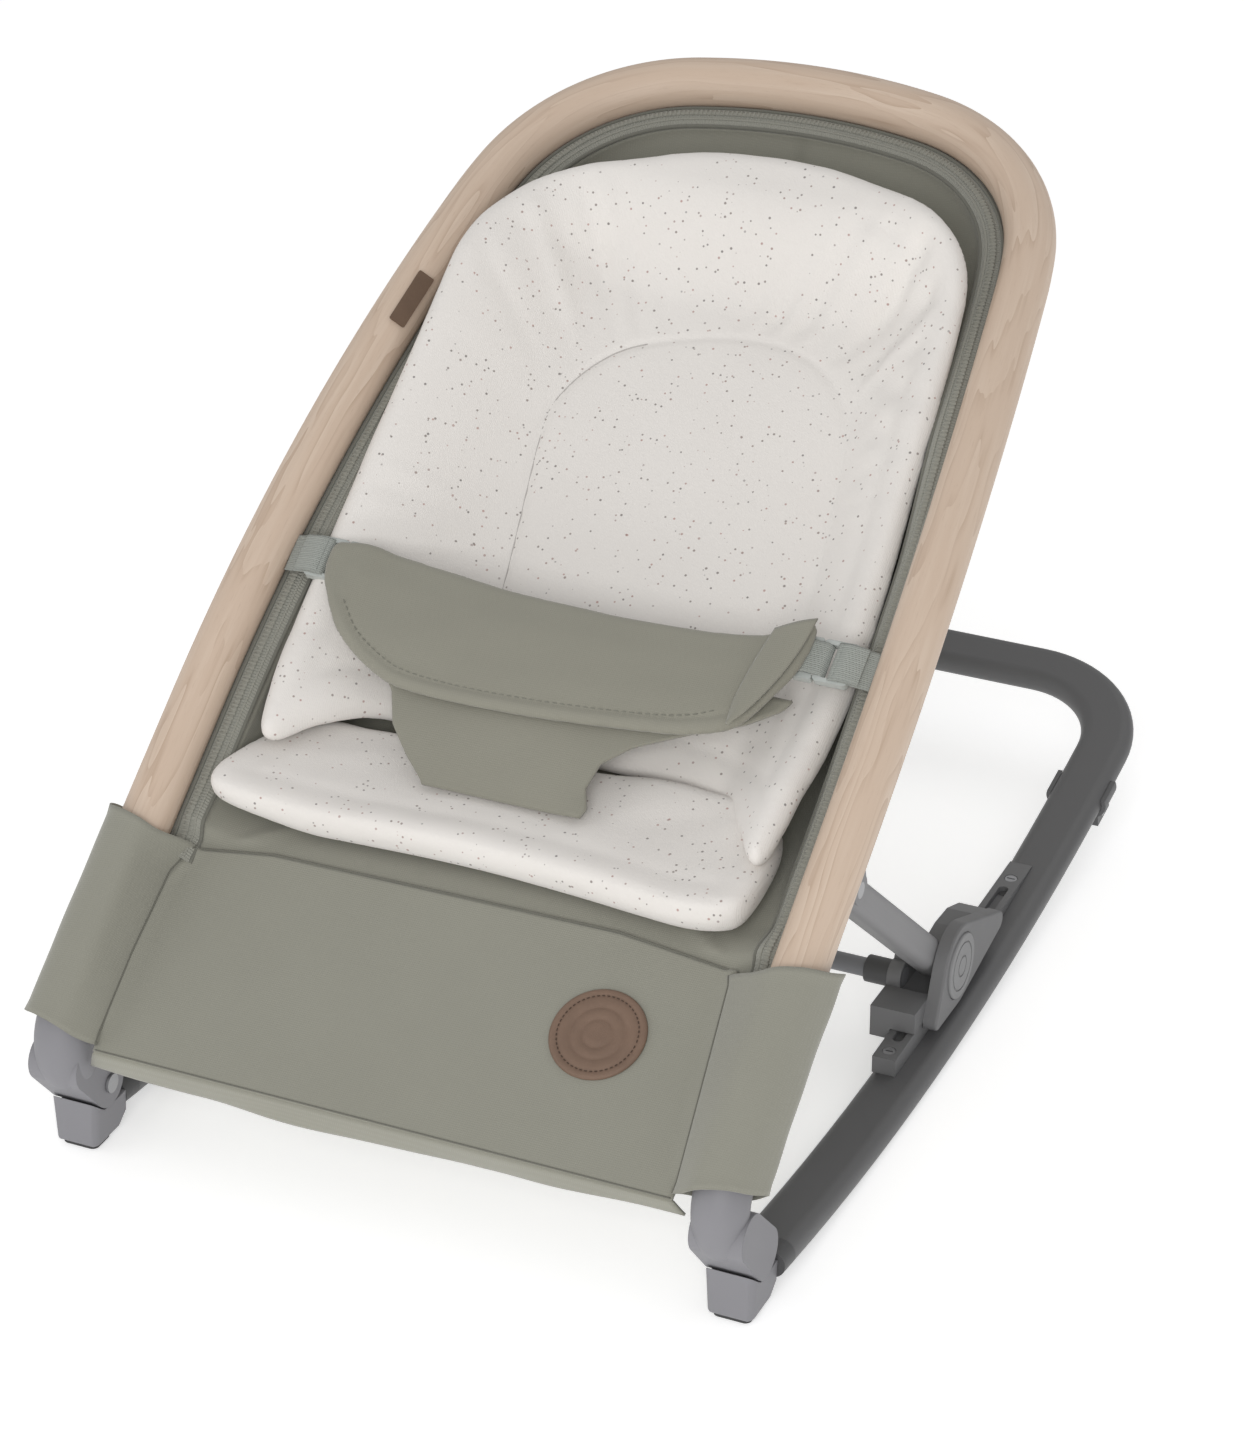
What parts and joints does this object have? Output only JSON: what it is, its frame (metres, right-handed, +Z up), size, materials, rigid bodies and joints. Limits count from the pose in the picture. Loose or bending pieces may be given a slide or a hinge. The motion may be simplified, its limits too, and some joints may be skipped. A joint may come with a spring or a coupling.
{
  "type": "baby bouncer seat",
  "caption": "Folding baby bouncer seat: padded hammock in a bent wood hoop, on a rocking tube base with struts, sliding hubs, lap belt and fold-down rear feet.",
  "frame": {"origin": "centre of the footprint, on the floor", "axes": "+X to the right as seen from the front, +Y to the back, +Z up"},
  "size_m": [0.466, 0.7316, 0.5014],
  "materials": {
    "wood": "clear matt varnish, light beech",
    "light_grey_plastic": "fine matt texture",
    "grey_plastic": "fine matt texture",
    "dark_plastic": "fine matt texture",
    "base_paint": "matt grey powder coat",
    "bar_paint": "matt grey powder coat",
    "steel": "plain pins",
    "tread": "soft matt rubber",
    "canvas": "sage grey cotton weave",
    "zip_tape": "darker ribbed tape with a coil zip",
    "jersey": "off-white jersey with sparse dark flecks",
    "strap": "ribbed polyester strap",
    "leather": "brown grained leather",
    "pale_plastic": "pale grey moulded buckle"
  },
  "bodies": {
    "base": {"base_tube": "base_paint", "rail_plug_left": "dark_plastic", "rail_plug_right": "dark_plastic", "front_foot_left": "light_grey_plastic", "front_foot_right": "light_grey_plastic", "foot_pad_left": "tread", "foot_pad_right": "tread", "front_hinge_pins": "steel", "track_left": "dark_plastic", "track_right": "dark_plastic", "track_screws": "steel", "rear_bracket_left": "dark_plastic", "rear_bracket_right": "dark_plastic", "rear_foot_pins": "steel"},
    "rear_foot_left": {"rear_foot_left": "dark_plastic", "rear_foot_pad_left": "tread"},
    "rear_foot_right": {"rear_foot_right": "dark_plastic", "rear_foot_pad_right": "tread"},
    "seat": {"seat_hoop": "wood", "leg_end_left": "light_grey_plastic", "leg_end_right": "light_grey_plastic", "strut_bracket_left": "dark_plastic", "strut_bracket_right": "dark_plastic", "strut_top_pins": "steel", "zip_band": "zip_tape", "seat_fabric": "canvas", "seat_pad": "jersey", "back_pad": "jersey", "leg_sleeve_left": "canvas", "leg_sleeve_right": "canvas", "front_panel": "canvas", "leather_patch": "leather", "leather_tag": "leather", "waist_belt": "canvas", "crotch_strap": "canvas", "buckle_socket_left": "pale_plastic", "buckle_socket_right": "pale_plastic", "buckle_clip_left": "pale_plastic", "buckle_clip_right": "pale_plastic", "webbing_left": "strap", "webbing_right": "strap"},
    "struts": {"strut_left": "grey_plastic", "strut_right": "grey_plastic", "strut_screws": "steel"},
    "carriage": {"hub_left": "dark_plastic", "hub_right": "dark_plastic", "hub_pins": "steel", "crossbar": "bar_paint", "crossbar_collars": "dark_plastic", "slide_shoes": "dark_plastic"},
    "button_left": {"release_button_left": "dark_plastic"},
    "button_right": {"release_button_right": "dark_plastic"},
    "prong_left_upper": {"buckle_prong_left_upper": "pale_plastic"},
    "prong_left_lower": {"buckle_prong_left_lower": "pale_plastic"},
    "prong_right_upper": {"buckle_prong_right_upper": "pale_plastic"},
    "prong_right_lower": {"buckle_prong_right_lower": "pale_plastic"}
  },
  "joints": [
    {"name": "seat_hinge", "type": "hinge", "parent": "base", "child": "seat", "pos_m": [0, -0.32343, 0.041], "axis": [1, 0, 0], "range_deg": [-27, 6]},
    {"name": "strut_hinge", "type": "hinge", "parent": "seat", "child": "struts", "pos_m": [0, -0.171, 0.19148], "axis": [1, 0, 0], "range_deg": [-12, 54]},
    {"name": "hub_hinge", "type": "hinge", "parent": "struts", "child": "carriage", "pos_m": [0, -0.00843, 0.052], "axis": [1, 0, 0], "range_deg": [-27, 6]},
    {"name": "rear_foot_left_hinge", "type": "hinge", "parent": "base", "child": "rear_foot_left", "pos_m": [-0.2125, 0.24546, 0.03098], "axis": [1, 0, 0], "range_deg": [0, 78]},
    {"name": "rear_foot_right_hinge", "type": "hinge", "parent": "base", "child": "rear_foot_right", "pos_m": [0.2125, 0.24546, 0.03098], "axis": [1, 0, 0], "range_deg": [0, 78]},
    {"name": "button_left_press", "type": "slide", "parent": "carriage", "child": "button_left", "axis": [1, 0, 0], "range_m": [0, 0.004], "stiffness_N_per_m": 1500},
    {"name": "button_right_press", "type": "slide", "parent": "carriage", "child": "button_right", "axis": [-1, 0, 0], "range_m": [0, 0.004], "stiffness_N_per_m": 1500},
    {"name": "prong_left_upper_squeeze", "type": "slide", "parent": "seat", "child": "prong_left_upper", "axis": [0, -0.8241, -0.5664], "range_m": [0, 0.0025], "stiffness_N_per_m": 1500},
    {"name": "prong_left_lower_squeeze", "type": "slide", "parent": "seat", "child": "prong_left_lower", "axis": [0, 0.8241, 0.5664], "range_m": [0, 0.0025], "stiffness_N_per_m": 1500},
    {"name": "prong_right_upper_squeeze", "type": "slide", "parent": "seat", "child": "prong_right_upper", "axis": [0, -0.8241, -0.5664], "range_m": [0, 0.0025], "stiffness_N_per_m": 1500},
    {"name": "prong_right_lower_squeeze", "type": "slide", "parent": "seat", "child": "prong_right_lower", "axis": [0, 0.8241, 0.5664], "range_m": [0, 0.0025], "stiffness_N_per_m": 1500}
  ],
  "couplings": [
    {"joint": "strut_hinge", "follows": "seat_hinge", "ratio": -2},
    {"joint": "hub_hinge", "follows": "seat_hinge", "ratio": 1}
  ]
}
